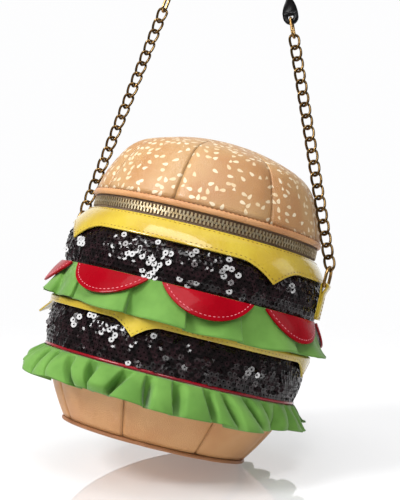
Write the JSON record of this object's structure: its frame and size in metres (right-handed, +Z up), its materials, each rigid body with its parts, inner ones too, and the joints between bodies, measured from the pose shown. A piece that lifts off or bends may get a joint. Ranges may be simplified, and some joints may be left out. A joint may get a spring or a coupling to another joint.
{
  "type": "hamburger shaped handbag",
  "caption": "Round novelty handbag shaped as a stacked hamburger, with a zipped domed lid and a chain and leather strap.",
  "frame": {"origin": "underside of the top of the shoulder strap, where a hook, bar or hand carries the bag", "axes": "+Z up, the bag's front faces -Y, and the side rings stand on the +X and -X sides of the bag"},
  "size_m": [0.1967, 0.1963, 0.4066],
  "materials": {
    "black_leather": "smooth, semi-gloss",
    "gold_metal": "polished, slightly aged",
    "chain_metal": "antique, worn bright on the bends",
    "bun_leather": "smooth with a soft gloss",
    "sesame_leather": "smooth, printed with pale sesame seeds",
    "brown_piping": "smooth",
    "lettuce_fabric": "fine weave, soft sheen",
    "red_patent": "patent, high gloss",
    "yellow_patent": "patent, high gloss",
    "sequins": "near-black brown sequins on net",
    "board": "stiffened padding board",
    "lining": "plain weave",
    "zip_tape": "woven tape",
    "zip_metal": "antique brass, satin"
  },
  "bodies": {
    "strap": {"shoulder_strap": "black_leather", "strap_ring_left": "gold_metal", "strap_ring_right": "gold_metal", "chain_left": "chain_metal", "chain_right": "chain_metal"},
    "bag": {"base_panel": "bun_leather", "base_piping": "brown_piping", "bottom_bun_panel_1": "bun_leather", "bottom_bun_panel_2": "bun_leather", "bottom_bun_panel_3": "bun_leather", "bottom_bun_panel_4": "bun_leather", "bottom_bun_panel_5": "bun_leather", "bottom_bun_panel_6": "bun_leather", "bottom_bun_panel_7": "bun_leather", "bottom_bun_panel_8": "bun_leather", "lower_lettuce": "lettuce_fabric", "red_piping": "red_patent", "lower_patty": "sequins", "lower_cheese": "yellow_patent", "upper_lettuce": "lettuce_fabric", "tomato_slice_1": "red_patent", "tomato_slice_2": "red_patent", "tomato_slice_3": "red_patent", "tomato_slice_4": "red_patent", "tomato_slice_5": "red_patent", "tomato_slice_6": "red_patent", "tomato_slice_7": "red_patent", "tomato_slice_8": "red_patent", "upper_patty": "sequins", "upper_cheese": "yellow_patent", "body_board": "board", "body_lining": "lining", "zip_tape_lower": "zip_tape", "zip_teeth_lower": "zip_metal", "zip_stops": "zip_metal", "hinge_gusset": "bun_leather", "side_tab_left": "yellow_patent", "side_tab_right": "yellow_patent", "side_ring_left": "gold_metal", "side_ring_right": "gold_metal"},
    "lid": {"lid_rim_band": "bun_leather", "top_bun_panel_1": "sesame_leather", "top_bun_panel_2": "sesame_leather", "top_bun_panel_3": "sesame_leather", "top_bun_panel_4": "sesame_leather", "top_bun_panel_5": "sesame_leather", "top_bun_panel_6": "sesame_leather", "top_bun_panel_7": "sesame_leather", "top_bun_panel_8": "sesame_leather", "lid_board": "board", "lid_lining": "lining", "zip_tape_upper": "zip_tape", "zip_teeth_upper": "zip_metal"},
    "slider": {"zip_slider": "zip_metal"},
    "pull": {"zip_pull": "zip_metal"}
  },
  "joints": [
    {"name": "bag_swing", "type": "hinge", "parent": "strap", "child": "bag", "pos_m": [0.03548, 0, -0.27017], "axis": [1, 0, 0], "range_deg": [-75, 75]},
    {"name": "lid_open", "type": "hinge", "parent": "bag", "child": "lid", "pos_m": [0.03548, 0.0797, -0.25757], "axis": [-1, 0, 0], "range_deg": [0, 95], "deforming": ["hinge_gusset", "chain_left", "chain_right"]},
    {"name": "zip_slide", "type": "hinge", "parent": "bag", "child": "slider", "pos_m": [0.03548, 0, -0.25757], "axis": [0, 0, 1], "range_deg": [0, 272], "deforming": ["zip_teeth_lower", "zip_teeth_upper"]},
    {"name": "pull_swing", "type": "hinge", "parent": "slider", "child": "pull", "pos_m": [-0.01985, 0.05729, -0.25757], "axis": [0, 0, -1], "range_deg": [0, 150]}
  ]
}
